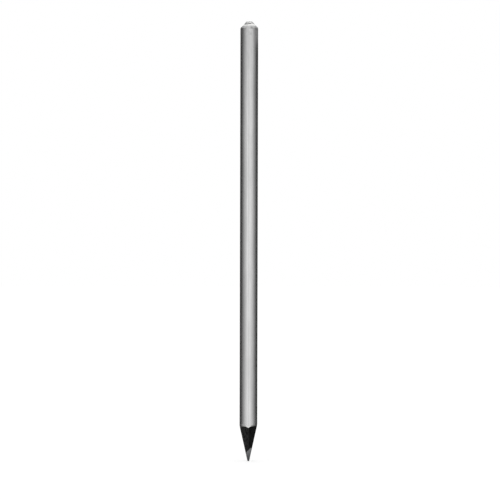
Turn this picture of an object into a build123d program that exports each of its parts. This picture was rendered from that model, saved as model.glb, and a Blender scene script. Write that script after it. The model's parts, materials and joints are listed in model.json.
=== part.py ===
from build123d import *
from math import cos, pi, radians, sin, sqrt, tan
import os

# A round wood-cased pencil: two glued slats round a graphite lead, an undercoat and a silver
# lacquer on the barrel, a dipped and rounded end, and a faceted stone set in that end.
# The writing tip is at the origin and the barrel runs up +Z. The slats meet in the plane x = 0.
# All sizes are in millimetres and degrees.

# Barrel and coats
barrel_diameter = 7.2  # over the finished lacquer
body_length = 176.25  # writing tip to the dipped end face
shoulder_radius = 1.2  # rounding of the dipped end
dip_depth = 4.0  # the end was dipped this deep, level with the lacquer
primer_thickness = 0.06
silver_thickness = 0.05

# Lead and glue
lead_diameter = 2.4
lead_offset = 0.25  # the lead lies this far off the barrel's axis, along +X
lead_forward = 0.2  # and this far towards the front, along -Y
lead_glue = 0.05  # glue all round the lead, in its grooves
seam_glue = 0.06  # glue between the two slats

# Sharpened point
point_half_angle = 12.4  # on the middles of the facets
point_askew = 0.2  # the cutter's axis leans this much, towards -X up the barrel
tip_radius = 0.4  # of the worn tip, where its dome meets the facets
tip_roundness = 1.25  # the dome's own radius, over the tip's
facet_count = 5  # one facet for each pass of the cutter, with a ridge on the front seam
facet_bulge = 1.25  # a facet's own radius, over its distance from the axis

# Stone and its seat
stone_diameter = 4.5
stone_sides = 8  # main facets, on the crown and on the pavilion
stone_turn = 9.0  # how far the first main facet is turned from +X
stone_lift = 0.35  # from the end face to the underside of the girdle
girdle_height = 0.14
crown_height = 1.35
table_diameter = 2.6
star_reach = 0.42  # how far down the crown the star facets run, as a share
pavilion_depth = 1.85
lower_half_reach = 0.75  # how far down the pavilion the lower half facets run, as a share
foil_thickness = 0.06
seat_clearance = 0.12  # bond between the seat's wall and the foil, at the end face
seat_floor = 0.3  # bond under the foil's point
bead_reach = 0.3  # squeezed-out bond lies this far over the end face, past the seat
bead_rise = 0.05  # and stands this far up the girdle
bead_width = 0.08  # with this width there
drill_point_angle = 118.0

# Worked out from the sizes above
barrel_radius = barrel_diameter / 2
coat_thickness = primer_thickness + silver_thickness
casing_radius = barrel_radius - coat_thickness
casing_length = body_length - coat_thickness
primer_radius = casing_radius + primer_thickness
coat_top = body_length - dip_depth
lead_radius = lead_diameter / 2
groove_radius = lead_radius + lead_glue
point_slope = tan(radians(point_half_angle))
dome_radius = tip_radius * tip_roundness
dome_height = dome_radius - sqrt(dome_radius**2 - tip_radius**2)
dome_sweep = 90 - 1.5 * point_half_angle  # past where the dome meets the facets
cone_apex = dome_height - tip_radius / point_slope
cone_top = barrel_radius / point_slope + cone_apex
cutter_top = cone_top + barrel_radius  # well outside the barrel

stone_radius = stone_diameter / 2
table_radius = table_diameter / 2
girdle_bottom = body_length + stone_lift
girdle_top = girdle_bottom + girdle_height
table_height = girdle_top + crown_height
culet_height = girdle_bottom - pavilion_depth
pavilion_slope = pavilion_depth / stone_radius
foil_drop = foil_thickness * sqrt(1 + pavilion_slope**2)
seat_radius = stone_radius - (stone_lift - foil_drop) / pavilion_slope + seat_clearance
seat_point = culet_height - foil_drop - seat_floor
seat_shoulder = seat_point + seat_radius / tan(radians(drill_point_angle / 2))


def polar(radius, angle, height):
    return Vector(radius * cos(radians(angle)), radius * sin(radians(angle)), height)


def outward_plane(first, second, third, grow=0.0):
    """The plane through three points, facing away from the stone's middle, moved out by grow."""
    normal = (second - first).cross(third - first).normalized()
    middle = Vector(0, 0, girdle_bottom)
    if normal.dot(first - middle) < 0:
        normal = normal * -1
    return Plane(first + normal * grow, z_dir=normal)


def crown_planes():
    """Main, star and upper half facets of the crown, which meet in shared points."""
    step = 360 / stone_sides
    star_radius = stone_radius - (stone_radius - table_radius) * (1 - star_reach)
    fall = (stone_radius - star_radius * cos(radians(step / 2))) / (stone_radius - table_radius)
    star_height = girdle_top + crown_height * fall
    planes = []
    for index in range(stone_sides):
        angle = stone_turn + index * step
        girdle = polar(stone_radius, angle, girdle_top)
        girdle_middle = polar(stone_radius, angle + step / 2, girdle_top)
        next_girdle = polar(stone_radius, angle + step, girdle_top)
        corner = polar(table_radius, angle, table_height)
        next_corner = polar(table_radius, angle + step, table_height)
        star = polar(star_radius, angle + step / 2, star_height)
        last_star = polar(star_radius, angle - step / 2, star_height)
        planes.append(outward_plane(girdle, star, last_star))
        planes.append(outward_plane(corner, next_corner, star))
        planes.append(outward_plane(girdle, girdle_middle, star))
        planes.append(outward_plane(girdle_middle, next_girdle, star))
    return planes


def pavilion_planes(grow=0.0):
    """Main and lower half facets of the pavilion, moved out by grow."""
    step = 360 / stone_sides
    meet_radius = stone_radius * (1 - lower_half_reach)
    meet_height = culet_height + pavilion_slope * meet_radius * cos(radians(step / 2))
    planes = []
    for index in range(stone_sides):
        angle = stone_turn + index * step
        girdle = polar(stone_radius, angle, girdle_bottom)
        girdle_middle = polar(stone_radius, angle + step / 2, girdle_bottom)
        next_girdle = polar(stone_radius, angle + step, girdle_bottom)
        meet = polar(meet_radius, angle + step / 2, meet_height)
        last_meet = polar(meet_radius, angle - step / 2, meet_height)
        planes.append(outward_plane(girdle, meet, last_meet, grow))
        planes.append(outward_plane(girdle, girdle_middle, meet, grow))
        planes.append(outward_plane(girdle_middle, next_girdle, meet, grow))
    return planes


def cutter_outline(height):
    """The point's outline at one height: arcs that bulge between the ridges."""
    reach = (height - cone_apex) * point_slope
    half = pi / facet_count
    inset = facet_bulge - 1
    ridge = reach * (sqrt(facet_bulge**2 - (inset * sin(half)) ** 2) - inset * cos(half))
    lean = Vector(-height * tan(radians(point_askew)), 0)
    with BuildSketch(Plane.XY.offset(height)) as outline:
        with BuildLine():
            for index in range(facet_count):
                angle = 360 * index / facet_count - 90
                start = lean + polar(ridge, angle, 0)
                middle = lean + polar(reach, angle + 180 / facet_count, 0)
                end = lean + polar(ridge, angle + 360 / facet_count, 0)
                ThreePointArc(start, middle, end)
        make_face()
    return outline.sketch


# The space that sharpening leaves: a faceted cone with a rounded tip, open above
with BuildPart() as sharpened:
    loft([cutter_outline(cone_apex / 2), cutter_outline(cutter_top)], ruled=True)
    with BuildSketch(Plane.XY.offset(cutter_top)):
        Circle(barrel_diameter)
    extrude(amount=body_length - cutter_top)
    # What wear has taken off the tip, below its dome
    with BuildSketch(Plane.XZ):
        with BuildLine():
            dome = CenterArc((0, dome_radius), dome_radius, -90, dome_sweep)
            Polyline(dome @ 1, (2 * dome_radius, cone_apex), (0, cone_apex), dome @ 0)
        make_face()
    revolve(axis=Axis.Z, mode=Mode.SUBTRACT)

# The drilled seat of the stone, up to the underside of its girdle
with BuildPart() as seat:
    with BuildSketch(Plane.XZ):
        with BuildLine():
            Polyline(
                (0, seat_point),
                (seat_radius, seat_shoulder),
                (seat_radius, girdle_bottom),
                (0, girdle_bottom),
                close=True,
            )
        make_face()
    revolve(axis=Axis.Z)

# The space of the whole casing: wood, lead and glue together
with BuildPart() as casing:
    with BuildSketch(Plane.XY):
        Circle(casing_radius)
    extrude(amount=casing_length)
    top_edge = casing.edges().filter_by(GeomType.CIRCLE).sort_by(Axis.Z)[-1]
    fillet(top_edge, radius=shoulder_radius - coat_thickness)
    add(sharpened.part, mode=Mode.INTERSECT)
    add(seat.part, mode=Mode.SUBTRACT)

# The lead's groove, with its glue, and the lead's own space
with BuildPart() as groove:
    with BuildSketch(Plane.XY):
        with Locations((lead_offset, -lead_forward)):
            Circle(groove_radius)
    extrude(amount=body_length)

with BuildPart() as lead:
    with BuildSketch(Plane.XY):
        with Locations((lead_offset, -lead_forward)):
            Circle(lead_radius)
    extrude(amount=body_length)
    add(casing.part, mode=Mode.INTERSECT)
lead.part.label = "lead"

with BuildPart() as slat_left:
    add(casing.part)
    split(bisect_by=Plane.YZ.offset(-seam_glue / 2), keep=Keep.BOTTOM)
    add(groove.part, mode=Mode.SUBTRACT)
slat_left.part.label = "slat_left"

with BuildPart() as slat_right:
    add(casing.part)
    split(bisect_by=Plane.YZ.offset(seam_glue / 2), keep=Keep.TOP)
    add(groove.part, mode=Mode.SUBTRACT)
slat_right.part.label = "slat_right"

with BuildPart() as glue_film:
    with BuildSketch(Plane.XY):
        Rectangle(seam_glue, barrel_diameter)
    extrude(amount=body_length)
    add(groove.part)
    add(casing.part, mode=Mode.INTERSECT)
    add(lead.part, mode=Mode.SUBTRACT)
glue_film.part.label = "glue_film"

with BuildPart() as primer_coat:
    with BuildSketch(Plane.XY):
        Circle(primer_radius)
        Circle(casing_radius, mode=Mode.SUBTRACT)
    extrude(amount=coat_top)
    add(sharpened.part, mode=Mode.INTERSECT)
primer_coat.part.label = "primer_coat"

with BuildPart() as silver_coat:
    with BuildSketch(Plane.XY):
        Circle(barrel_radius)
        Circle(primer_radius, mode=Mode.SUBTRACT)
    extrude(amount=coat_top)
    add(sharpened.part, mode=Mode.INTERSECT)
silver_coat.part.label = "silver_coat"

with BuildPart() as end_dip:
    with BuildSketch(Plane.XY.offset(coat_top)):
        Circle(barrel_radius)
    extrude(amount=dip_depth)
    dip_edge = end_dip.edges().filter_by(GeomType.CIRCLE).sort_by(Axis.Z)[-1]
    fillet(dip_edge, radius=shoulder_radius)
    add(casing.part, mode=Mode.SUBTRACT)
    add(seat.part, mode=Mode.SUBTRACT)
end_dip.part.label = "end_dip"

with BuildPart() as crystal:
    with BuildSketch(Plane.XY.offset(culet_height)):
        Circle(stone_radius)
    extrude(amount=table_height - culet_height)
    for facet in crown_planes() + pavilion_planes():
        split(bisect_by=facet, keep=Keep.BOTTOM)
crystal.part.label = "crystal"

with BuildPart() as foil_back:
    with BuildSketch(Plane.XY.offset(culet_height - foil_drop)):
        Circle(stone_radius)
    extrude(amount=pavilion_depth + foil_drop)
    for facet in pavilion_planes(foil_thickness):
        split(bisect_by=facet, keep=Keep.BOTTOM)
    add(crystal.part, mode=Mode.SUBTRACT)
foil_back.part.label = "foil_back"

with BuildPart() as crystal_bond:
    with BuildSketch(Plane.XZ):
        with BuildLine():
            Polyline(
                (0, body_length),
                (seat_radius + bead_reach, body_length),
                (stone_radius + bead_width, girdle_bottom + bead_rise),
                (0, girdle_bottom + bead_rise),
                close=True,
            )
        make_face()
    revolve(axis=Axis.Z)
    add(seat.part)
    add(crystal.part, mode=Mode.SUBTRACT)
    add(foil_back.part, mode=Mode.SUBTRACT)
crystal_bond.part.label = "crystal_bond"

os.makedirs("parts", exist_ok=True)
export_step(slat_left.part, "parts/slat_left.step")
export_step(slat_right.part, "parts/slat_right.step")
export_step(glue_film.part, "parts/glue_film.step")
export_step(lead.part, "parts/lead.step")
export_step(primer_coat.part, "parts/primer_coat.step")
export_step(silver_coat.part, "parts/silver_coat.step")
export_step(end_dip.part, "parts/end_dip.step")
export_step(crystal.part, "parts/crystal.step")
export_step(foil_back.part, "parts/foil_back.step")
export_step(crystal_bond.part, "parts/crystal_bond.step")
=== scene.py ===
import json
from math import atan2, cos, degrees, exp, hypot, pi, radians, sin, sqrt, tan

import bpy
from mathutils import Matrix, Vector, noise

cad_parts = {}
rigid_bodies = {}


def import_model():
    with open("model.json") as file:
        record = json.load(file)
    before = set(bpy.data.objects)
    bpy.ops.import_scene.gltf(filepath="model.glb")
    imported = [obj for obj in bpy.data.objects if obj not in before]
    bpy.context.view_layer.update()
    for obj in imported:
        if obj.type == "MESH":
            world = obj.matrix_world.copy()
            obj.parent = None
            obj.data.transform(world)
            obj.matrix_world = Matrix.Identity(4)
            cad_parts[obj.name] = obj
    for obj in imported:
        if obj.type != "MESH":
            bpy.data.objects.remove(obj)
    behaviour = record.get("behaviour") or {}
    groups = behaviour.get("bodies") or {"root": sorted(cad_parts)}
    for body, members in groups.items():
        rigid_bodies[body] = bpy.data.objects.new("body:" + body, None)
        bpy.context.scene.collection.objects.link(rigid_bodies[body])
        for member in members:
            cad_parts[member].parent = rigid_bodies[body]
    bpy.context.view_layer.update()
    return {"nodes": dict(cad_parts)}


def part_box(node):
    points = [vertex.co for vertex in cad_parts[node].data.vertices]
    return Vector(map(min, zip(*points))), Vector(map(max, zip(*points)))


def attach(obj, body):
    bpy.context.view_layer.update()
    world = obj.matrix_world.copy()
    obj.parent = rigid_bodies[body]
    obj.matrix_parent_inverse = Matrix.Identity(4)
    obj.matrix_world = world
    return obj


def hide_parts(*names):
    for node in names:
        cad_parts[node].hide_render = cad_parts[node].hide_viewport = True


for old in list(bpy.data.objects):
    bpy.data.objects.remove(old)
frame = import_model()
nodes = frame["nodes"]
mm = 0.001
nearly = 0.002 * mm  # closer than this counts as the same place
mergeWithin = nearly / 4  # vertices closer than this become one
print("stage 1: frame loaded,", len(nodes), "nodes")

# Sizes that the frame already holds
silverLow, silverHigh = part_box("silver_coat")
primerLow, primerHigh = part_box("primer_coat")
slatLow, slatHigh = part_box("slat_left")
leadLow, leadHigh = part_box("lead")
dipLow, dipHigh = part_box("end_dip")
bondLow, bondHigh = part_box("crystal_bond")
stoneLow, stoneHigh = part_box("crystal")
barrelRadius = silverHigh.x
primerRadius = primerHigh.x
casingRadius = slatHigh.y
coatTop = silverHigh.z
bodyTop = dipHigh.z
casingTop = slatHigh.z
leadMiddle = (leadLow + leadHigh) / 2
leadRadius = leadHigh.x - leadMiddle.x
beadReach = 0.3 * mm  # of the squeezed-out adhesive, past the stone's seat
seatRadius = bondHigh.x - beadReach
seatPoint = bondLow.z
endShoulder = 1.2 * mm  # rounding of the dipped end, outside
innerShoulder = endShoulder - (bodyTop - casingTop)

# The sharpened point: bulged facets, with a ridge on the front seam
point = {
    "halfAngle": 12.4,  # degrees, on the middle of a facet
    "askew": 0.2,  # degrees, how far the cutter's axis leans to the left
    "facets": 5,
    "bulge": 1.25,  # a facet's own radius over its distance from the axis
    "tipRadius": 0.4 * mm,
    "tipRoundness": 1.25,  # the worn dome's own radius over the tip's
    "leadGlue": 0.05 * mm,
    "seamGlue": 0.06 * mm,
}
slope = tan(radians(point["halfAngle"]))
lean = tan(radians(point["askew"]))
tipRadius = point["tipRadius"]
domeRadius = tipRadius * point["tipRoundness"]
domeHeight = domeRadius - sqrt(domeRadius ** 2 - tipRadius ** 2)
apexHeight = domeHeight - tipRadius / slope
grooveRadius = leadRadius + point["leadGlue"]


def ridgeAt(angle):
    # how far the cut stands out at this angle, over the middle of a facet
    step = 2 * pi / point["facets"]
    away = (angle + pi / 2) % step - step / 2
    inset = point["bulge"] - 1
    return sqrt(point["bulge"] ** 2 - (inset * sin(away)) ** 2) - inset * cos(away)


def cutHeight(radius, angle, worn=0.0):
    # where the cut crosses this radius, with its ridges worn down by a share
    rise = slope * (1 + (ridgeAt(angle) - 1) * (1 - worn))
    return (radius + rise * apexHeight) / (rise - lean * cos(angle))


def offsetRadius(radius, angle):
    # from the barrel's axis to a round piece that lies on the lead's own axis
    along = leadMiddle.x * cos(angle) + leadMiddle.y * sin(angle)
    across = leadMiddle.x * sin(angle) - leadMiddle.y * cos(angle)
    return along + sqrt(radius ** 2 - across ** 2)


def around(radius, angle, height):
    return Vector((radius * cos(angle), radius * sin(angle), height))


def grain(co, width, length, seed):
    # smooth noise from -1 to 1, drawn out along the barrel
    return noise.noise(Vector((co.x / width, co.y / width, co.z / length + seed)))


def arc(centre, radius, first, last, count):
    # corners of a round stretch of an outline, angles in degrees
    turns = [radians(first + (last - first) * k / count) for k in range(count + 1)]
    return [(centre[0] + radius * cos(t), centre[1] + radius * sin(t)) for t in turns]


def startPoint(name, place):
    # one vertex, from which an outline is drawn by extruding
    bpy.ops.object.select_all(action="DESELECT")
    bpy.ops.mesh.primitive_plane_add(size=mm, location=place)
    piece = bpy.context.object
    piece.name = name
    bpy.ops.object.transform_apply(location=True, rotation=False, scale=False)
    bpy.ops.object.mode_set(mode="EDIT")
    bpy.ops.mesh.select_mode(type="VERT")
    bpy.ops.mesh.merge(type="CENTER")
    return piece


def mergeAndTurnOut():
    bpy.ops.mesh.select_all(action="SELECT")
    bpy.ops.mesh.remove_doubles(threshold=mergeWithin)
    bpy.ops.mesh.normals_make_consistent(inside=False)
    bpy.ops.object.mode_set(mode="OBJECT")


def turned(name, outline, cuts, steps, sweep=2 * pi, start=0.0):
    # a closed outline, drawn corner by corner and spun round the barrel's axis
    places = [around(radius, start, height) for radius, height in outline]
    piece = startPoint(name, places[0])
    for first, second, cut in zip(places, places[1:], cuts):
        stretch = (second - first) / (cut + 1)
        for part in range(cut + 1):
            bpy.ops.mesh.extrude_region_move(TRANSFORM_OT_translate={"value": stretch})
    bpy.ops.mesh.select_all(action="SELECT")
    bpy.ops.mesh.remove_doubles(threshold=mergeWithin)
    if sweep < 2 * pi:
        bpy.ops.mesh.edge_face_add()  # a filled outline gives a half round its flat sides
    bpy.ops.mesh.spin(steps=steps, angle=sweep, center=(0, 0, 0), axis=(0, 0, 1))
    mergeAndTurnOut()
    return piece


def reshape(piece, place, sharp=35):
    # moves each vertex to its place on the real, uneven surface
    for vertex in piece.data.vertices:
        vertex.co = place(vertex.co.copy())
    piece.data.update()
    bpy.ops.object.select_all(action="DESELECT")
    piece.select_set(True)
    bpy.context.view_layer.objects.active = piece
    bpy.ops.object.shade_smooth_by_angle(angle=radians(sharp))


def dress(piece, node, material):
    # stands for a CAD node, rides on the pencil and wears its finish
    piece.data.materials.clear()
    piece.data.materials.append(material)
    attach(piece, "root")
    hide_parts(node)


# Colours and nodes
def linear(code):
    parts = [int(code[k:k + 2], 16) / 255 for k in (1, 3, 5)]
    parts = [c / 12.92 if c <= 0.04045 else ((c + 0.055) / 1.055) ** 2.4 for c in parts]
    return (*parts, 1.0)


def addNode(tree, kind, settings=None, links=None, stops=()):
    # stops are the (position, colour) pairs of a colour ramp
    node = tree.nodes.new(kind)
    for key, value in (settings or {}).items():
        if isinstance(key, int) or key in node.inputs:
            node.inputs[key].default_value = value
        else:
            setattr(node, key, value)
    for key, source in (links or {}).items():
        tree.links.new(source, node.inputs[key])
    while stops and len(node.color_ramp.elements) < len(stops):
        node.color_ramp.elements.new(1.0)
    for number, (position, colour) in enumerate(stops):
        node.color_ramp.elements[number].position = position
        node.color_ramp.elements[number].color = colour
    return node


def newMaterial(name, plain):
    # plain holds what is the same all over the surface
    material = bpy.data.materials.new(name)
    material.use_nodes = True
    tree = material.node_tree
    shader = tree.nodes["Principled BSDF"]
    for socket, value in plain.items():
        shader.inputs[socket].default_value = value
    place = addNode(tree, "ShaderNodeTexCoord").outputs["Object"]
    return material, tree, shader, place


def link(tree, source, shader, socket):
    tree.links.new(source, shader.inputs[socket])


# Satin silver lacquer, sprayed or dipped: aluminium flake in a clear binder. The eye gets a soft
# metallic glow that dies away round the barrel, a slight mottle and a few specks of dust.
barrelFinish = {
    "name": "satin silver lacquer",
    "dark": "#C3C3C3",
    "light": "#D3D3D3",
    "mottleWidth": 2.2 * mm,
    "mottleLength": 14 * mm,
}
dipFinish = {
    "name": "satin silver dip",
    "dark": "#BCBCBC",
    "light": "#D2D2D2",
    "mottleWidth": 0.9 * mm,
    "mottleLength": 1.4 * mm,
}
lacquer = {
    "flake": 0.25 * mm,  # real flake is ten times finer, drawn coarse so that it shows
    "flakeDepth": 0.02 * mm,
    "flakeStrength": 0.12,
    "speckSpacing": 2.5 * mm,
    "speckSize": 0.1 * mm,
    "speckColour": "#8F8F8F",
    "patchColour": "#9A9A9A",  # a darker grey patch on the front of the end below the stone
    "patchPlace": (0.95 * mm, -3.4 * mm, bodyTop - 0.85 * mm),
    "patchWidth": 0.9 * mm,
    "streakWidth": 0.9 * mm,  # long lines that wiping leaves
    "streakLength": 160 * mm,
    "streakTone": 0.08,
    # a painted highlight down the front with a painted shadow beside it, as a ridge would catch the
    # light: place at the tip, width, tone
    "paintedRidgeLight": [(-0.38 * mm, 0.3 * mm, 0.1), (0.03 * mm, 0.32 * mm, -0.07)],
    "lineLean": 0.0016,  # how far it drifts to the left for its height
    "lineEnd": (bodyTop - 56.25 * mm, bodyTop - 6.25 * mm),  # heights between which it fades
    "metallic": 0.97,
    "edgeTint": "#646464",  # flake lies flat, so the coat darkens when seen along its surface
    "drawn": 0.8,  # wiping leaves fine lines along the barrel, which spread the glow round it
    "roughness": 0.25,
    # where the drying rack rubbed the end: span across, span in height, roughness added
    "rubs": [
        ((1.4 * mm, 3.2 * mm), (bodyTop - 10.25 * mm, bodyTop - 4.25 * mm), 0.25),
        ((-2.4 * mm, -3.4 * mm), (bodyTop - 9.25 * mm, bodyTop - 0.25 * mm), 0.15)],
    "greyTone": -0.06,  # the coat is darker towards the dipped end
    "greyHeight": (bodyTop - 28.25 * mm, bodyTop - 2.25 * mm),
}


def silverLacquer(finish):
    material, tree, shader, place = newMaterial(
        finish["name"], {
            "Metallic": lacquer["metallic"], "Anisotropic": lacquer["drawn"],
            "Specular Tint": linear(lacquer["edgeTint"])})
    across = 1 / finish["mottleWidth"]
    along = 1 / finish["mottleLength"]
    drawn = addNode(
        tree, "ShaderNodeMapping", {"Scale": (across, across, along)}, {"Vector": place})
    mottle = addNode(
        tree, "ShaderNodeTexNoise", {"Scale": 1.0, "Detail": 3.0, "Roughness": 0.6},
        {"Vector": drawn.outputs["Vector"]})
    tone = addNode(
        tree, "ShaderNodeValToRGB", None, {"Fac": mottle.outputs["Fac"]},
        [(0.3, linear(finish["dark"])), (0.7, linear(finish["light"]))])
    dust = addNode(
        tree, "ShaderNodeTexVoronoi", {"Scale": 1 / lacquer["speckSpacing"]}, {"Vector": place})
    speck = addNode(
        tree, "ShaderNodeMapRange",
        {"From Min": 0.0, "From Max": lacquer["speckSize"] / lacquer["speckSpacing"],
         "To Min": 1.0, "To Max": 0.0}, {"Value": dust.outputs["Distance"]})
    colour = addNode(
        tree, "ShaderNodeMix", {"data_type": "RGBA", 7: linear(lacquer["speckColour"])},
        {0: speck.outputs[0], 6: tone.outputs["Color"]})
    # a darker grey patch round one place on the end
    away = addNode(
        tree, "ShaderNodeVectorMath", {"operation": "DISTANCE", 1: lacquer["patchPlace"]},
        {0: place})
    darkPatch = addNode(
        tree, "ShaderNodeMapRange",
        {"interpolation_type": "SMOOTHSTEP", "From Min": lacquer["patchWidth"], "From Max": 0.0},
        {"Value": away.outputs["Value"]})
    colour = addNode(
        tree, "ShaderNodeMix", {"data_type": "RGBA", 7: linear(lacquer["patchColour"])},
        {0: darkPatch.outputs[0], 6: colour.outputs[2]})
    across = 1 / lacquer["streakWidth"]
    wiped = addNode(
        tree, "ShaderNodeMapping", {"Scale": (across, across, 1 / lacquer["streakLength"])},
        {"Vector": place})
    streak = addNode(
        tree, "ShaderNodeTexNoise", {"Scale": 1.0, "Detail": 1.0},
        {"Vector": wiped.outputs["Vector"]})
    lift = addNode(
        tree, "ShaderNodeMapRange",
        {"From Min": 0.25, "From Max": 0.75, "To Min": 1 - lacquer["streakTone"],
         "To Max": 1 + lacquer["streakTone"]}, {"Value": streak.outputs["Fac"]})
    axes = addNode(tree, "ShaderNodeSeparateXYZ", None, {"Vector": place})
    drift = addNode(
        tree, "ShaderNodeMath", {"operation": "MULTIPLY_ADD", 1: lacquer["lineLean"]},
        {0: axes.outputs["Z"], 2: axes.outputs["X"]})
    # the painted highlight and shadow show only on the side that faces the camera
    front = addNode(
        tree, "ShaderNodeMath", {"operation": "LESS_THAN", 1: 0.0}, {0: axes.outputs["Y"]})
    low, high = lacquer["lineEnd"]
    fade = addNode(
        tree, "ShaderNodeMapRange", {"From Min": high, "From Max": low},
        {"Value": axes.outputs["Z"]})
    shown = addNode(
        tree, "ShaderNodeMath", {"operation": "MULTIPLY"},
        {0: front.outputs[0], 1: fade.outputs[0]})
    # each adds a painted highlight or a painted shadow along the front
    for spot, width, strength in lacquer["paintedRidgeLight"]:
        away = addNode(
            tree, "ShaderNodeMath", {"operation": "SUBTRACT", 1: spot}, {0: drift.outputs[0]})
        away = addNode(tree, "ShaderNodeMath", {"operation": "ABSOLUTE"}, {0: away.outputs[0]})
        ridgeShading = addNode(
            tree, "ShaderNodeMapRange",
            {"interpolation_type": "SMOOTHSTEP", "From Min": width, "From Max": 0.0,
             "To Max": strength},
            {"Value": away.outputs[0]})
        lift = addNode(
            tree, "ShaderNodeMath", {"operation": "MULTIPLY_ADD"},
            {0: ridgeShading.outputs[0], 1: shown.outputs[0], 2: lift.outputs[0]})
    low, high = lacquer["greyHeight"]
    grey = addNode(
        tree, "ShaderNodeMapRange",
        {"From Min": low, "From Max": high, "To Max": lacquer["greyTone"]},
        {"Value": axes.outputs["Z"]})
    lift = addNode(
        tree, "ShaderNodeMath", {"operation": "ADD"}, {0: lift.outputs[0], 1: grey.outputs[0]})
    colour = addNode(
        tree, "ShaderNodeVectorMath", {"operation": "SCALE"},
        {0: colour.outputs[2], "Scale": lift.outputs[0]})
    link(tree, colour.outputs["Vector"], shader, "Base Color")
    soFar = {}
    for (inner, outer), (low, high), added in lacquer["rubs"]:
        side = addNode(
            tree, "ShaderNodeMapRange", {"From Min": inner, "From Max": outer, "To Max": added},
            {"Value": axes.outputs["X"]})
        height = addNode(
            tree, "ShaderNodeMapRange", {"From Min": low, "From Max": high},
            {"Value": axes.outputs["Z"]})
        roughness = addNode(
            tree, "ShaderNodeMath", {"operation": "MULTIPLY_ADD", 2: lacquer["roughness"]},
            {0: side.outputs[0], 1: height.outputs[0], **soFar})
        soFar = {2: roughness.outputs[0]}
    link(tree, roughness.outputs[0], shader, "Roughness")
    flake = addNode(
        tree, "ShaderNodeTexNoise", {"Scale": 1 / lacquer["flake"], "Detail": 2.0},
        {"Vector": place})
    relief = addNode(
        tree, "ShaderNodeBump",
        {"Strength": lacquer["flakeStrength"], "Distance": lacquer["flakeDepth"]},
        {"Height": flake.outputs["Fac"]})
    link(tree, relief.outputs["Normal"], shader, "Normal")
    return material


# Grey base coat, sprayed under the silver and cut through by the sharpener: chalky, with painted
# shade that darkens it towards the sides and a painted highlight that makes it pale by the seam.
primerLook = {
    # share of the way from the sides to the seam, colour: painted shade at the sides, painted
    # highlight by the seam
    "grades": [(0.05, "#181818"), (0.4, "#6C6C6B"), (0.66, "#B0B0AE"), (0.78, "#F4F4F2")],
    "chalk": 0.3 * mm,
    "uneven": 0.1,
    "roughness": 0.7,
    "gloss": 0.3,
}


def cutPrimer():
    material, tree, shader, place = newMaterial(
        "cut grey base coat",
        {"Roughness": primerLook["roughness"], "Specular IOR Level": primerLook["gloss"]})
    paintedShadeMark = addNode(tree, "ShaderNodeAttribute", {"attribute_name": "paintedShadeMark"})
    chalk = addNode(
        tree, "ShaderNodeTexNoise", {"Scale": 1 / primerLook["chalk"], "Detail": 4.0},
        {"Vector": place})
    uneven = addNode(
        tree, "ShaderNodeMapRange",
        {"To Min": -primerLook["uneven"], "To Max": primerLook["uneven"]},
        {"Value": chalk.outputs["Fac"]})
    amount = addNode(
        tree, "ShaderNodeMath", {"operation": "ADD"},
        {0: paintedShadeMark.outputs["Fac"], 1: uneven.outputs[0]})
    # painted shade towards the sides, painted highlight by the seam
    tone = addNode(
        tree, "ShaderNodeValToRGB", None, {"Fac": amount.outputs[0]},
        [(share, linear(code)) for share, code in primerLook["grades"]])
    link(tree, tone.outputs["Color"], shader, "Base Color")
    return material


# Limewood dyed black right through, sliced by a sharpener: the eye gets near black with paler
# fibres along the grain, and hardly any gloss.
woodLook = {
    "fibre": 0.3 * mm,  # drawn coarser than real fibres, so that it shows
    "fibreStretch": 14,
    "fibreSlant": 8.0,  # degrees, the grain runs a little across the slat
    "fibreDepth": 0.05 * mm,
    "roughness": 0.65,
    "gloss": 0.03,
}


def dyedWood(name, dark, light, seed):
    material, tree, shader, place = newMaterial(
        name, {"Roughness": woodLook["roughness"], "Specular IOR Level": woodLook["gloss"]})
    across = 1 / woodLook["fibre"]
    drawn = addNode(
        tree, "ShaderNodeMapping",
        {"Scale": (across, across, across / woodLook["fibreStretch"]), "Location": (0, 0, seed),
         "Rotation": (0, radians(woodLook["fibreSlant"]), 0)}, {"Vector": place})
    fibres = addNode(
        tree, "ShaderNodeTexNoise", {"Scale": 1.0, "Detail": 4.0, "Roughness": 0.65},
        {"Vector": drawn.outputs["Vector"]})
    tone = addNode(
        tree, "ShaderNodeValToRGB", None, {"Fac": fibres.outputs["Fac"]},
        [(0.38, linear(dark)), (0.7, linear(light))])
    link(tree, tone.outputs["Color"], shader, "Base Color")
    relief = addNode(
        tree, "ShaderNodeBump", {"Strength": 0.5, "Distance": woodLook["fibreDepth"]},
        {"Height": fibres.outputs["Fac"]})
    link(tree, relief.outputs["Normal"], shader, "Normal")
    return material


# Graphite and clay, fired and sharpened: the blade burnishes it to a grey metallic sheen below the
# wood, and writing wears the tip down to a darker, duller grey.
graphiteLook = {
    "worn": "#3E3E40",
    "burnished": "#7E7E80",
    "wornTo": 1.2 * mm,  # heights above the tip
    "burnishedFrom": 4.0 * mm,
    "score": 0.14 * mm,  # spacing of the marks round it that the blade leaves
    "scoreStretch": 6,
    "scoreDepth": 0.02 * mm,
    "uneven": 0.3,
    "roughness": 0.5,
    "metallic": 0.3,
    "gloss": 0.15,
}


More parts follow.
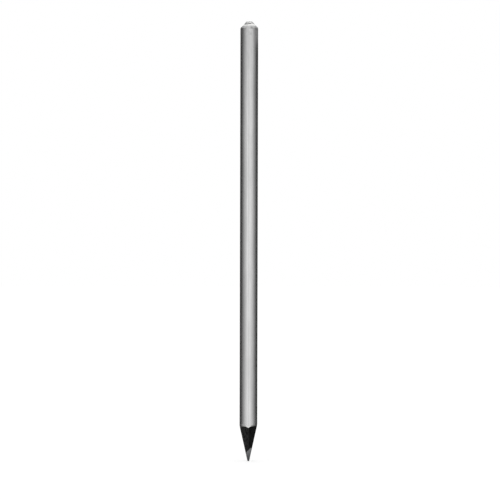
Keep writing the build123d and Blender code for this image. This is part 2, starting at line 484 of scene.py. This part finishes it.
def burnishedGraphite():
    material, tree, shader, place = newMaterial(
        "burnished graphite", {
            "Metallic": graphiteLook["metallic"], "Roughness": graphiteLook["roughness"],
            "Specular IOR Level": graphiteLook["gloss"]})
    across = 1 / (graphiteLook["scoreStretch"] * graphiteLook["score"])
    turns = addNode(
        tree, "ShaderNodeMapping", {"Scale": (across, across, 1 / graphiteLook["score"])},
        {"Vector": place})
    scores = addNode(
        tree, "ShaderNodeTexNoise", {"Scale": 1.0, "Detail": 3.0},
        {"Vector": turns.outputs["Vector"]})
    height = addNode(tree, "ShaderNodeSeparateXYZ", None, {"Vector": place})
    wear = addNode(
        tree, "ShaderNodeMapRange",
        {"From Min": graphiteLook["wornTo"], "From Max": graphiteLook["burnishedFrom"],
         "To Min": 0.15, "To Max": 0.85}, {"Value": height.outputs["Z"]})
    uneven = addNode(
        tree, "ShaderNodeMapRange",
        {"To Min": -graphiteLook["uneven"], "To Max": graphiteLook["uneven"]},
        {"Value": scores.outputs["Fac"]})
    amount = addNode(
        tree, "ShaderNodeMath", {"operation": "ADD"}, {0: wear.outputs[0], 1: uneven.outputs[0]})
    tone = addNode(
        tree, "ShaderNodeValToRGB", None, {"Fac": amount.outputs[0]},
        [(0.0, linear(graphiteLook["worn"])), (1.0, linear(graphiteLook["burnished"]))])
    link(tree, tone.outputs["Color"], shader, "Base Color")
    relief = addNode(
        tree, "ShaderNodeBump", {"Strength": 0.3, "Distance": graphiteLook["scoreDepth"]},
        {"Height": scores.outputs["Fac"]})
    link(tree, relief.outputs["Normal"], shader, "Normal")
    return material


# Crystal glass, machine cut and polished: clear and bright, with faint polishing marks and rubs.
crystalLook = {"colour": "#FFFFFF", "ior": 1.53, "mark": 0.15 * mm, "polish": 0.0, "rub": 0.05}


def cutCrystal():
    material, tree, shader, place = newMaterial(
        "cut crystal glass",
        {"Base Color": linear(crystalLook["colour"]), "Transmission Weight": 1.0,
         "IOR": crystalLook["ior"]})
    marks = addNode(
        tree, "ShaderNodeTexNoise", {"Scale": 1 / crystalLook["mark"], "Detail": 3.0},
        {"Vector": place})
    polish = addNode(
        tree, "ShaderNodeMapRange",
        {"From Min": 0.45, "From Max": 0.8,
         "To Min": crystalLook["polish"], "To Max": crystalLook["rub"]},
        {"Value": marks.outputs["Fac"]})
    link(tree, polish.outputs[0], shader, "Roughness")
    return material


# Mirror foil, silvered under vacuum on the stone's back: bright, a little crinkled and spotted.
foilLook = {
    "bright": "#FFFFFF",
    "dull": "#F6F6F6",
    "crinkle": 0.35 * mm,
    "crinkleDepth": 0.01 * mm,
    "roughness": 0.1,
}


def silveredFoil():
    material, tree, shader, place = newMaterial(
        "silvered foil", {"Metallic": 1.0, "Roughness": foilLook["roughness"]})
    crinkle = addNode(
        tree, "ShaderNodeTexNoise", {"Scale": 1 / foilLook["crinkle"], "Detail": 3.0},
        {"Vector": place})
    tone = addNode(
        tree, "ShaderNodeValToRGB", None, {"Fac": crinkle.outputs["Fac"]},
        [(0.35, linear(foilLook["dull"])), (0.6, linear(foilLook["bright"]))])
    link(tree, tone.outputs["Color"], shader, "Base Color")
    relief = addNode(
        tree, "ShaderNodeBump", {"Strength": 0.3, "Distance": foilLook["crinkleDepth"]},
        {"Height": crinkle.outputs["Fac"]})
    link(tree, relief.outputs["Normal"], shader, "Normal")
    return material


# Two-part adhesive, squeezed out round the stone: glossy and milky, with trapped bubbles.
bondLook = {
    "milky": "#FFFFFD",
    "bubble": "#FFFFFF",
    "bubbleSpacing": 0.35 * mm,
    "bubbleSize": 0.09 * mm,
    "bubbleBlur": 1.3,  # where a bubble has faded out, over its size
    "roughness": 0.12,
    "ior": 1.5,
    "skinIor": 1.6,  # of the glossy skin it sets with
}


def milkyBond():
    material, tree, shader, place = newMaterial(
        "milky adhesive", {
            "Roughness": bondLook["roughness"], "IOR": bondLook["ior"], "Coat Weight": 1.0,
            "Coat IOR": bondLook["skinIor"]})
    bubbles = addNode(
        tree, "ShaderNodeTexVoronoi", {"Scale": 1 / bondLook["bubbleSpacing"]}, {"Vector": place})
    edge = bondLook["bubbleSize"] / bondLook["bubbleSpacing"]
    tone = addNode(
        tree, "ShaderNodeValToRGB", None, {"Fac": bubbles.outputs["Distance"]},
        [(edge, linear(bondLook["bubble"])),
         (bondLook["bubbleBlur"] * edge, linear(bondLook["milky"]))])
    link(tree, tone.outputs["Color"], shader, "Base Color")
    return material


# White wood glue, set brownish black with the dye of the slats: dull, a little lumpy.
glueLook = {
    "dark": "#141312",
    "light": "#2A2826",
    "lump": 0.4 * mm,
    "lumpDepth": 0.02 * mm,
    "roughness": 0.5,
}


def setGlue():
    material, tree, shader, place = newMaterial(
        "set wood glue", {"Roughness": glueLook["roughness"]})
    lumps = addNode(
        tree, "ShaderNodeTexNoise", {"Scale": 1 / glueLook["lump"], "Detail": 3.0},
        {"Vector": place})
    tone = addNode(
        tree, "ShaderNodeValToRGB", None, {"Fac": lumps.outputs["Fac"]},
        [(0.35, linear(glueLook["dark"])), (0.65, linear(glueLook["light"]))])
    link(tree, tone.outputs["Color"], shader, "Base Color")
    relief = addNode(
        tree, "ShaderNodeBump", {"Strength": 0.4, "Distance": glueLook["lumpDepth"]},
        {"Height": lumps.outputs["Fac"]})
    link(tree, relief.outputs["Normal"], shader, "Normal")
    return material


silverMaterial = silverLacquer(barrelFinish)
dipMaterial = silverLacquer(dipFinish)
primerMaterial = cutPrimer()
woodLeft = dyedWood("black-dyed limewood, left slat", "#0A0A0A", "#3C3C3C", 0.0)
woodRight = dyedWood("black-dyed limewood, right slat", "#0A0A0A", "#222222", 7.0)
graphiteMaterial = burnishedGraphite()
print("stage 2: materials ready")


def markPaintedShade(piece):
    # how near each point is to the seam of the slats, from 0 at the sides to 1, which the cut base
    # coat turns into painted shade and highlight
    marks = piece.data.attributes.new("paintedShadeMark", "FLOAT", "POINT")
    for vertex, mark in zip(piece.data.vertices, marks.data):
        mark.value = 1 - abs(vertex.co.x) / barrelRadius


# Silver sleeve: the lacquer with its cut, slightly chipped lower edge
sleeve = {
    "steps": 180,
    "rows": 120,
    "edgeRise": 0.3 * mm,  # of the cut through the coat
    "chip": 0.06 * mm,  # deepest chip in the cut edge
    "chipWidth": 0.5 * mm,
    "chipSeed": 3.0,
    "wave": 0.006 * mm,  # unevenness of the sprayed surface
    "waveWidth": 4 * mm,
    "waveLength": 16 * mm,
    "waveSeed": 0.0,
    "cutBelow": 1.3 * mm,  # the cut edge lies within this of the coat's lowest point
    "cutFacing": -0.1,  # a face of the cut points further down than this
    "flake": 0.2 * mm,  # how far the coats have flaked off above the cut
    "flakeAway": 14,  # degrees from a ridge, where most has flaked off
    "flakeSpread": 12,
    "primerRows": 3,
    "primerEdgeRows": 2,
}


def flaked(angle):
    # beside each ridge the blade lifts the coats, which leaves a sharp tooth on the ridge
    step = 2 * pi / point["facets"]
    away = degrees(abs((angle + pi / 2 + step / 2) % step - step / 2))
    return sleeve["flake"] * exp(-((away - sleeve["flakeAway"]) / sleeve["flakeSpread"]) ** 2)


def sleevePlace(co):
    angle = atan2(co.y, co.x)
    radius = hypot(co.x, co.y)
    if co.z < silverLow.z + sleeve["cutBelow"]:
        chip = max(0.0, grain(co, sleeve["chipWidth"], 1.0, sleeve["chipSeed"])) * sleeve["chip"]
        return Vector((co.x, co.y, cutHeight(radius, angle) + flaked(angle) + chip))
    if radius > barrelRadius - nearly and co.z < coatTop - nearly:
        wave = grain(co, sleeve["waveWidth"], sleeve["waveLength"], sleeve["waveSeed"])
        return around(radius + wave * sleeve["wave"], angle, co.z)
    return co


outline = [
    (primerRadius, silverLow.z), (barrelRadius, silverLow.z + sleeve["edgeRise"]),
    (barrelRadius, coatTop), (primerRadius, coatTop), (primerRadius, silverLow.z)]
silverSleeve = turned("silver_sleeve", outline, [0, sleeve["rows"], 0, 0], sleeve["steps"])
reshape(silverSleeve, sleevePlace)
markPaintedShade(silverSleeve)
dress(silverSleeve, "silver_coat", silverMaterial)
silverSleeve.data.materials.append(primerMaterial)
for face in silverSleeve.data.polygons:
    if face.normal.z < sleeve["cutFacing"]:  # the cut through the coat has lost its shine
        face.material_index = 1


# Primer sleeve: its cut edge is the rim under the silver
def primerPlace(co):
    if co.z < primerLow.z + sleeve["cutBelow"]:
        angle = atan2(co.y, co.x)
        return Vector((co.x, co.y, cutHeight(hypot(co.x, co.y), angle) + flaked(angle)))
    return co


outline = [
    (casingRadius, primerLow.z), (primerRadius, primerLow.z + sleeve["edgeRise"]),
    (primerRadius, coatTop), (casingRadius, coatTop), (casingRadius, primerLow.z)]
cuts = [sleeve["primerEdgeRows"], sleeve["primerRows"], 0, 0]
primerSleeve = turned("primer_sleeve", outline, cuts, sleeve["steps"])
reshape(primerSleeve, primerPlace)
markPaintedShade(primerSleeve)
dress(primerSleeve, "primer_coat", primerMaterial)
print("stage 3: coats ready")

# Slats: half rounds with the lead's groove, sharpened to the faceted point
slats = {
    "steps": 90,
    "coneRows": 110,
    "shoulderRows": 6,
    "fibreWidth": 0.3 * mm,
    "fibreLength": 6 * mm,
    "fibreDepth": 0.02 * mm,
    "fibreBias": 0.6,  # sets how much of the cut lies below its highest fibres
    "fibreFade": 8,  # how quickly the fibres set in at the ends of the cut
    "drillAngle": 118,  # degrees, of the stone's seat
}
kneeHeight = cutHeight(casingRadius, 0)
seatRise = 1 / tan(radians(slats["drillAngle"] / 2))


def slatPlace(seed, seamSide):
    def place(co):
        angle = atan2(co.y, co.x)
        radius = hypot(co.x, co.y)
        inner = offsetRadius(grooveRadius, angle)
        if co.z < kneeHeight + nearly and radius > grooveRadius - nearly:
            share = (radius - grooveRadius) / (casingRadius - grooveRadius)
            radius = inner + share * (casingRadius - inner)
            spot = around(radius, angle, cutHeight(radius, angle))
            dent = grain(spot, slats["fibreWidth"], slats["fibreLength"], seed) - slats["fibreBias"]
            shown = min(1.0, slats["fibreFade"] * share * (1 - share))
            radius += min(0.0, dent) * slats["fibreDepth"] * shown
            co = around(radius, angle, spot.z)
        elif radius < grooveRadius + nearly:
            co = around(inner, angle, co.z)
        if abs(co.x) < point["seamGlue"] / 2:
            co.x = seamSide * point["seamGlue"] / 2
        return co
    return place


outline = [(grooveRadius, slatLow.z), (casingRadius, kneeHeight)]
innerCentre = (casingRadius - innerShoulder, casingTop - innerShoulder)
outline += arc(innerCentre, innerShoulder, 0, 90, slats["shoulderRows"])
outline += [
    (seatRadius, casingTop), (seatRadius, seatPoint + seatRadius * seatRise),
    (grooveRadius, seatPoint + grooveRadius * seatRise), (grooveRadius, slatLow.z)]
cuts = [slats["coneRows"]] + [0] * (len(outline) - 2)
slatLeft = turned("slat_left_cut", outline, cuts, slats["steps"], pi, -pi / 2)
reshape(slatLeft, slatPlace(seed=0.0, seamSide=-1))
dress(slatLeft, "slat_left", woodLeft)
slatRight = turned("slat_right_cut", outline, cuts, slats["steps"], pi, pi / 2)
reshape(slatRight, slatPlace(seed=5.0, seamSide=1))
dress(slatRight, "slat_right", woodRight)
print("stage 4: slats ready")

# Lead: a rod on its own axis, cut to the same facets, which wear away towards the domed tip
rod = {"steps": 96, "coneRows": 40, "domeRows": 6, "sharp": 50}
leadKnee = cutHeight(leadRadius, 0)


def leadPlace(co):
    angle = atan2(co.y, co.x)
    radius = hypot(co.x, co.y)
    outer = offsetRadius(leadRadius, angle)
    if domeHeight - nearly < co.z < leadKnee + nearly and radius > nearly:
        share = (radius - tipRadius) / (leadRadius - tipRadius)
        radius = tipRadius + share * (outer - tipRadius)
        return around(radius, angle, cutHeight(radius, angle, 1 - share))
    if co.z > leadKnee and radius > nearly:
        return around(outer, angle, co.z)
    return co


domeEnd = degrees(atan2(domeHeight - domeRadius, tipRadius))
outline = arc((0, domeRadius), domeRadius, -90, domeEnd, rod["domeRows"])
outline += [(leadRadius, leadKnee), (leadRadius, leadHigh.z), (0, seatPoint)]
cuts = [0] * rod["domeRows"] + [rod["coneRows"], 0, 0]
leadRod = turned("lead_rod", outline, cuts, rod["steps"])
reshape(leadRod, leadPlace, rod["sharp"])
dress(leadRod, "lead", graphiteMaterial)
print("stage 5: lead ready")

# End dip: a cup of silver lacquer over the rounded end, uneven as dipping leaves it
dip = {
    "steps": 144,
    "wallRows": 6,
    "shoulderRows": 16,
    "uneven": 0.05 * mm,
    "unevenWidth": 1.3 * mm,
    "unevenSeed": 11.0,
    # drops of lacquer that dried on the rim: place, height, width
    "drops": [
        (Vector((2.6 * mm, -1.0 * mm, 0)), 0.3 * mm, 0.42 * mm),
        (Vector((-2.5 * mm, -1.0 * mm, 0)), 0.14 * mm, 0.45 * mm)],
}


def dipPlace(co):
    if co.z < bodyTop - endShoulder - nearly or hypot(co.x, co.y) < seatRadius + nearly:
        return co
    rise = grain(co, dip["unevenWidth"], dip["unevenWidth"], dip["unevenSeed"]) * dip["uneven"]
    for place, height, width in dip["drops"]:
        away = (Vector((co.x, co.y, 0)) - place).length / width
        rise += height * exp(-away ** 2)
    share = (co.z - bodyTop + endShoulder) / endShoulder
    return co + Vector((0, 0, rise * max(0.0, share)))


outline = [(casingRadius, dipLow.z), (barrelRadius, dipLow.z)]
rimRadius = barrelRadius - endShoulder
outline += arc((rimRadius, bodyTop - endShoulder), endShoulder, 0, 90, dip["shoulderRows"])
outline += [((rimRadius + seatRadius) / 2, bodyTop), (seatRadius, bodyTop), (seatRadius, casingTop)]
outline += arc(innerCentre, innerShoulder, 90, 0, slats["shoulderRows"])
outline += [(casingRadius, dipLow.z)]
cuts = [0, dip["wallRows"]] + [0] * (len(outline) - 3)
endDip = turned("end_dip_cup", outline, cuts, dip["steps"])
reshape(endDip, dipPlace)
dress(endDip, "end_dip", dipMaterial)

# Stone: a brilliant cut, sliced facet by facet from a round blank
stone = {
    "sides": 8,
    "turn": 9.0,  # degrees, how the setter happened to turn it
    "tableRadius": 1.3 * mm,
    "girdle": 0.14 * mm,
    "crown": 1.35 * mm,
    "starReach": 0.42,  # share of the crown that the star facets run down
    "lowerReach": 0.75,  # share of the pavilion that the lower half facets run down
    "blankSides": 96,
    "seated": 0.01 * mm,  # the pavilion lies this far in its foil, so that glass and foil join
    "sliceWithin": 1e-5 * mm,  # corners this near to a slice lie in it
}
stoneRadius = stoneHigh.x
girdleTop = stoneHigh.z - stone["crown"]
girdleLow = girdleTop - stone["girdle"]


def facetCorners():
    # each facet by three of its corners, and how far it stands out
    step = 2 * pi / stone["sides"]
    crownWidth = stoneRadius - stone["tableRadius"]
    starRadius = stoneRadius - crownWidth * (1 - stone["starReach"])
    starIn = stoneRadius - starRadius * cos(step / 2)
    starHeight = girdleTop + stone["crown"] * starIn / crownWidth
    meetRadius = stoneRadius * (1 - stone["lowerReach"])
    rise = (girdleLow - stoneLow.z) / stoneRadius
    meetHeight = stoneLow.z + rise * meetRadius * cos(step / 2)
    crown = (girdleTop, starRadius, starHeight, 0.0)
    pavilion = (girdleLow, meetRadius, meetHeight, stone["seated"])
    for side in range(stone["sides"]):
        turn = radians(stone["turn"]) + side * step
        for height, inner, innerHeight, grow in (crown, pavilion):
            corner = around(stoneRadius, turn, height)
            middle = around(stoneRadius, turn + step / 2, height)
            nextCorner = around(stoneRadius, turn + step, height)
            ahead = around(inner, turn + step / 2, innerHeight)
            behind = around(inner, turn - step / 2, innerHeight)
            yield corner, ahead, behind, grow
            yield corner, middle, ahead, grow
            yield middle, nextCorner, ahead, grow
        star = around(starRadius, turn + step / 2, starHeight)
        first = around(stone["tableRadius"], turn, stoneHigh.z)
        second = around(stone["tableRadius"], turn + step, stoneHigh.z)
        yield first, second, star, 0.0


bpy.ops.object.select_all(action="DESELECT")
bpy.ops.mesh.primitive_cylinder_add(
    vertices=stone["blankSides"], radius=stoneRadius,
    depth=stoneHigh.z - stoneLow.z + 2 * stone["seated"],
    location=(0, 0, (stoneHigh.z + stoneLow.z) / 2 - stone["seated"]))
brilliant = bpy.context.object
brilliant.name = "brilliant"
bpy.ops.object.transform_apply(location=True, rotation=False, scale=False)
bpy.ops.object.mode_set(mode="EDIT")
for first, second, third, grow in facetCorners():
    outward = (second - first).cross(third - first).normalized()
    if outward.dot(first - Vector((0, 0, girdleLow))) < 0:
        outward.negate()
    bpy.ops.mesh.select_all(action="SELECT")
    bpy.ops.mesh.bisect(
        plane_co=first + outward * grow, plane_no=outward, use_fill=True, clear_outer=True,
        threshold=stone["sliceWithin"])
mergeAndTurnOut()
dress(brilliant, "crystal", cutCrystal())

# Bead: adhesive that was squeezed out round the girdle and crept up the crown, further on one side
bead = {
    "steps": 96,
    "lipRows": 8,
    "foot": 0.55 * mm,  # past the girdle, where it lies on the rim
    "width": 0.1 * mm,  # past the girdle, beside it
    "lip": 0.17 * mm,  # height up the crown
    "slump": 0.9,  # share by which the lip is higher on the side towards +X, and lower on the other
    "slumpWidth": 0.8 * mm,  # over which it changes from the one to the other, each way
    "uneven": 0.3,
    "unevenWidth": 0.7 * mm,
    "unevenSeed": 4.0,
    "depth": 0.05 * mm,  # how far it reaches into the stone and the rim, out of sight
}
bondMaterial = milkyBond()
crownLean = (stoneRadius - stone["tableRadius"]) / stone["crown"]


def beadPlace(co):
    if co.z < girdleTop + nearly:
        return co
    side = max(-1.0, min(1.0, co.x / bead["slumpWidth"]))
    lump = grain(co, bead["unevenWidth"], 1.0, bead["unevenSeed"])
    rise = (co.z - girdleTop) * (bead["slump"] * side + bead["uneven"] * lump)
    return around(hypot(co.x, co.y) - rise * crownLean, atan2(co.y, co.x), co.z + rise)


beadInner = stoneRadius - bead["depth"]
beadLow = bodyTop - bead["depth"]
outline = [(beadInner, beadLow), (stoneRadius + bead["foot"], beadLow)]
lipCentre = (stoneRadius + bead["width"] - bead["lip"], girdleTop)
outline += arc(lipCentre, bead["lip"], 0, 90, bead["lipRows"])
outline += [(beadInner - bead["lip"] / 2, girdleTop), outline[0]]
bondBead = turned("bond_bead", outline, [0] * (len(outline) - 1), bead["steps"])
reshape(bondBead, beadPlace)
bondBead.data.materials.append(bondMaterial)
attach(bondBead, "root")

# Pieces that keep their CAD mesh
for name, material in (
        ("foil_back", silveredFoil()), ("crystal_bond", bondMaterial), ("glue_film", setGlue())):
    nodes[name].data.materials.clear()
    nodes[name].data.materials.append(material)
print("stage 6: dip, stone and bead ready,", len(brilliant.data.polygons), "facets")

# Studio: pale floor, plain pale surround and two softboxes
studio = {
    "floorRadius": 4.0,
    "floorSides": 96,
    "floorRoughness": 0.9,
    "floorColour": "#F2F2F2",
    "floorGlow": 0.32,  # added where the lit floor is seen, so that it is white round its shadow
    "surround": 0.8,  # on the object; to the eye, and in glass and metal, the surround is white
    # name, place, width, height, brightness
    "softboxes": [
        ("front softbox", (0, -1.2, 0.12), 1.2, 0.24, 0.12),
        ("top softbox", (0, 0.0, 1.3), 1.4, 1.4, 0.15),
    ],
}


def seenDirectly(tree):
    # 1 for what the eye sees, also in metal and through glass, and 0 for light on the object
    path = addNode(tree, "ShaderNodeLightPath")
    seen = addNode(
        tree, "ShaderNodeMath", {"operation": "MAXIMUM"},
        {0: path.outputs["Is Camera Ray"], 1: path.outputs["Is Glossy Ray"]})
    seen = addNode(
        tree, "ShaderNodeMath", {"operation": "MAXIMUM"},
        {0: seen.outputs[0], 1: path.outputs["Is Transmission Ray"]})
    return seen.outputs[0]


# Seamless white paper, matt: it takes the shadow and looks white
floorPaper, tree, shader, place = newMaterial("white paper", {
    "Base Color": linear(studio["floorColour"]), "Emission Color": (1, 1, 1, 1),
    "Roughness": studio["floorRoughness"], "Specular IOR Level": 0.0})
glow = addNode(
    tree, "ShaderNodeMath", {"operation": "MULTIPLY", 1: studio["floorGlow"]},
    {0: seenDirectly(tree)})
link(tree, glow.outputs[0], shader, "Emission Strength")
bpy.ops.object.select_all(action="DESELECT")
bpy.ops.mesh.primitive_circle_add(
    vertices=studio["floorSides"], radius=studio["floorRadius"], fill_type="NGON")
floor = bpy.context.object
floor.name = "floor"
floor.data.materials.append(floorPaper)

world = bpy.data.worlds.new("pale surround")
bpy.context.scene.world = world
world.use_nodes = True
tree = world.node_tree
level = addNode(
    tree, "ShaderNodeMapRange", {"To Min": studio["surround"], "To Max": 1.0},
    {"Value": seenDirectly(tree)})
tree.nodes["Background"].inputs["Color"].default_value = (1, 1, 1, 1)
link(tree, level.outputs[0], tree.nodes["Background"], "Strength")

for name, spot, width, height, brightness in studio["softboxes"]:
    bpy.ops.object.light_add(type="AREA", location=spot)
    lamp = bpy.context.object
    lamp.name = name
    lamp.data.shape = "RECTANGLE"
    lamp.data.size = width
    lamp.data.size_y = height
    lamp.data.energy = brightness * pi * width * height  # watts, for that radiance
    lamp.visible_camera = False
    aim = Vector((0, 0, bodyTop / 2)) - Vector(spot)
    lamp.rotation_euler = aim.to_track_quat("-Z", "Y").to_euler()

# Curved cards that the metal mirrors: pale in front, black at the sides and grey behind
cards = {
    "radius": 0.06,
    "height": 0.212,
    "from": 30,  # degrees round from the camera
    "to": 160,
    "leftBack": 1,  # degrees that each card is then turned away from the camera
    "rightBack": 4,
    "steps": 40,
    # degrees round from the camera, brightness
    "grades": [
        (30, 0.98), (47, 0.72), (60, 0.46), (81, 0.2), (97, 0.06),
        (110, 0.0), (122, 0.0), (138, 0.15), (160, 0.6)],
}
graded = bpy.data.materials.new("graded card")
graded.use_nodes = True
tree = graded.node_tree
place = addNode(tree, "ShaderNodeTexCoord")
depth = addNode(tree, "ShaderNodeSeparateXYZ", None, {"Vector": place.outputs["Object"]})
depth = addNode(
    tree, "ShaderNodeMapRange", {"From Min": -cards["radius"], "From Max": cards["radius"]},
    {"Value": depth.outputs["Y"]})
grade = addNode(
    tree, "ShaderNodeValToRGB", None, {"Fac": depth.outputs[0]},
    [((1 - cos(radians(turn))) / 2, (bright, bright, bright, 1))
     for turn, bright in cards["grades"]])
glow = addNode(tree, "ShaderNodeEmission", None, {"Color": grade.outputs["Color"]})
link(tree, glow.outputs["Emission"], tree.nodes["Material Output"], "Surface")
for name, turn, back in (
        ("left_card", -90 - cards["from"], -cards["leftBack"]),
        ("right_card", -90 + cards["to"], cards["rightBack"])):
    card = startPoint(name, around(cards["radius"], radians(turn), 0))
    bpy.ops.mesh.extrude_region_move(TRANSFORM_OT_translate={"value": (0, 0, cards["height"])})
    bpy.ops.mesh.select_all(action="SELECT")
    bpy.ops.mesh.spin(
        steps=cards["steps"], angle=radians(cards["to"] - cards["from"]),
        center=(0, 0, 0), axis=(0, 0, 1))
    bpy.ops.object.mode_set(mode="OBJECT")
    card.rotation_euler.z = radians(back)
    card.data.materials.append(graded)
    card.visible_camera = False
    card.visible_diffuse = False
    card.visible_transmission = False
    card.visible_shadow = False

# Camera: level, near the middle of the pencil, far enough back to look straight at it
view = {
    "distance": 0.85,
    "scale": 2.467,  # pixels for each millimetre at the pencil
    "tipRow": 461.06,
    "axisColumn": 248.80,  # where the barrel's axis crosses the middle row
    "lean": 0.133,  # degrees, the top leans to the right
    "frameSize": 500,  # pixels
    "sensor": 36.0,  # mm
}
half = view["frameSize"] / 2
metresPerPixel = mm / view["scale"]
bpy.ops.object.camera_add(
    location=(
        (half - view["axisColumn"]) * metresPerPixel, -view["distance"],
        (view["tipRow"] - half) * metresPerPixel),
    rotation=(radians(90), -radians(view["lean"]), 0))
camera = bpy.context.object
camera.data.sensor_width = view["sensor"]
camera.data.lens = view["sensor"] * view["distance"] / (view["frameSize"] * metresPerPixel)
bpy.context.scene.camera = camera
bpy.context.scene.view_settings.view_transform = "Standard"
print("stage 7: studio ready")
